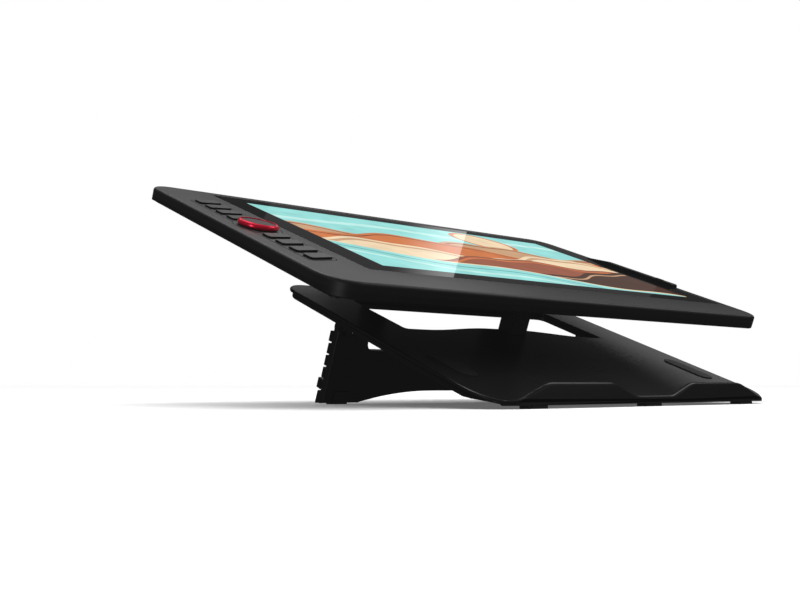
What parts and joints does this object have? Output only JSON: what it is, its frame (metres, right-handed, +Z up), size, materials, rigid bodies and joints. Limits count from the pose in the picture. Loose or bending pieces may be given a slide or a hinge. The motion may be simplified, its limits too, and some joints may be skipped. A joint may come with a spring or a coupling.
{
  "type": "pen display on a folding stand",
  "caption": "Flat pen display with a side column of keys and a red dial, held above a sloping folding desk stand with a wavy front lip.",
  "frame": {"origin": "on the desk under the middle front foot of the stand", "axes": "+X to the right along the screen's long edge, +Y from the front lip to the rear, +Z up"},
  "size_m": [0.4592, 0.3124, 0.1724],
  "materials": {
    "shell_black": "fine matte grain",
    "frame_black": "matte",
    "rubber": "matte",
    "steel": "satin",
    "housing_grey": "satin",
    "housing_black": "satin",
    "key_grey": "satin",
    "cover_glass": "gloss, black border",
    "screen": "lit screen",
    "board": "solder mask",
    "part_black": "matte",
    "dial_red": "anodised",
    "dial_dark": "matte"
  },
  "bodies": {
    "stand": {"rest_plate": "shell_black", "under_frame": "frame_black", "left_grip_pad": "rubber", "right_grip_pad": "rubber", "front_feet": "rubber", "hinge_brackets": "frame_black", "hinge_pins": "steel", "riser_post": "shell_black", "riser_rear_legs": "shell_black", "cradle_plate": "frame_black", "cradle_pads": "rubber", "riser_screws": "steel"},
    "support_leg": {"support_frame": "shell_black", "left_tooth_rack": "frame_black", "right_tooth_rack": "frame_black", "rear_feet": "rubber"},
    "tablet": {"top_frame": "housing_grey", "back_cover": "housing_black", "cover_glass": "cover_glass", "glass_gasket": "rubber", "lcd_panel": "screen", "backlight_tray": "steel", "digitizer_board": "board", "shield_plate": "steel", "main_board": "board", "display_connector": "part_black", "port_board": "board", "usb_sockets": "steel", "power_switch": "part_black", "key_board": "board", "key_switches": "part_black", "dial_encoder": "part_black", "port_bar": "housing_black", "case_screws": "steel", "back_feet": "rubber"},
    "dial": {"dial_ring": "dial_red", "dial_cap": "dial_dark"},
    "power_button": {"power_button": "key_grey"},
    "key_1": {"key_1": "key_grey"},
    "key_2": {"key_2": "key_grey"},
    "key_3": {"key_3": "key_grey"},
    "key_4": {"key_4": "key_grey"},
    "key_5": {"key_5": "key_grey"},
    "key_6": {"key_6": "key_grey"},
    "key_7": {"key_7": "key_grey"},
    "key_8": {"key_8": "key_grey"}
  },
  "joints": [
    {"name": "support_fold", "type": "hinge", "parent": "stand", "child": "support_leg", "pos_m": [0, 0.16381, 0.05603], "axis": [1, 0, 0], "range_deg": [-88, 0]},
    {"name": "tablet_lift", "type": "slide", "parent": "stand", "child": "tablet", "axis": [0, -0.36, 0.933], "range_m": [0, 0.08]},
    {"name": "dial_turn", "type": "hinge", "parent": "tablet", "child": "dial", "pos_m": [-0.203, 0.17262, 0.1232], "axis": [0, -0.36, 0.933], "continuous": true},
    {"name": "power_press", "type": "slide", "parent": "tablet", "child": "power_button", "axis": [0, -0.36, 0.933], "range_m": [-0.0004, 0], "stiffness_N_per_m": 1500, "springref_m": 0.0004},
    {"name": "key_1_press", "type": "slide", "parent": "tablet", "child": "key_1", "axis": [0, -0.36, 0.933], "range_m": [-0.0006, 0], "stiffness_N_per_m": 1000, "springref_m": 0.0004},
    {"name": "key_2_press", "type": "slide", "parent": "tablet", "child": "key_2", "axis": [0, -0.36, 0.933], "range_m": [-0.0006, 0], "stiffness_N_per_m": 1000, "springref_m": 0.0004},
    {"name": "key_3_press", "type": "slide", "parent": "tablet", "child": "key_3", "axis": [0, -0.36, 0.933], "range_m": [-0.0006, 0], "stiffness_N_per_m": 1000, "springref_m": 0.0004},
    {"name": "key_4_press", "type": "slide", "parent": "tablet", "child": "key_4", "axis": [0, -0.36, 0.933], "range_m": [-0.0006, 0], "stiffness_N_per_m": 1000, "springref_m": 0.0004},
    {"name": "key_5_press", "type": "slide", "parent": "tablet", "child": "key_5", "axis": [0, -0.36, 0.933], "range_m": [-0.0006, 0], "stiffness_N_per_m": 1000, "springref_m": 0.0004},
    {"name": "key_6_press", "type": "slide", "parent": "tablet", "child": "key_6", "axis": [0, -0.36, 0.933], "range_m": [-0.0006, 0], "stiffness_N_per_m": 1000, "springref_m": 0.0004},
    {"name": "key_7_press", "type": "slide", "parent": "tablet", "child": "key_7", "axis": [0, -0.36, 0.933], "range_m": [-0.0006, 0], "stiffness_N_per_m": 1000, "springref_m": 0.0004},
    {"name": "key_8_press", "type": "slide", "parent": "tablet", "child": "key_8", "axis": [0, -0.36, 0.933], "range_m": [-0.0006, 0], "stiffness_N_per_m": 1000, "springref_m": 0.0004}
  ]
}
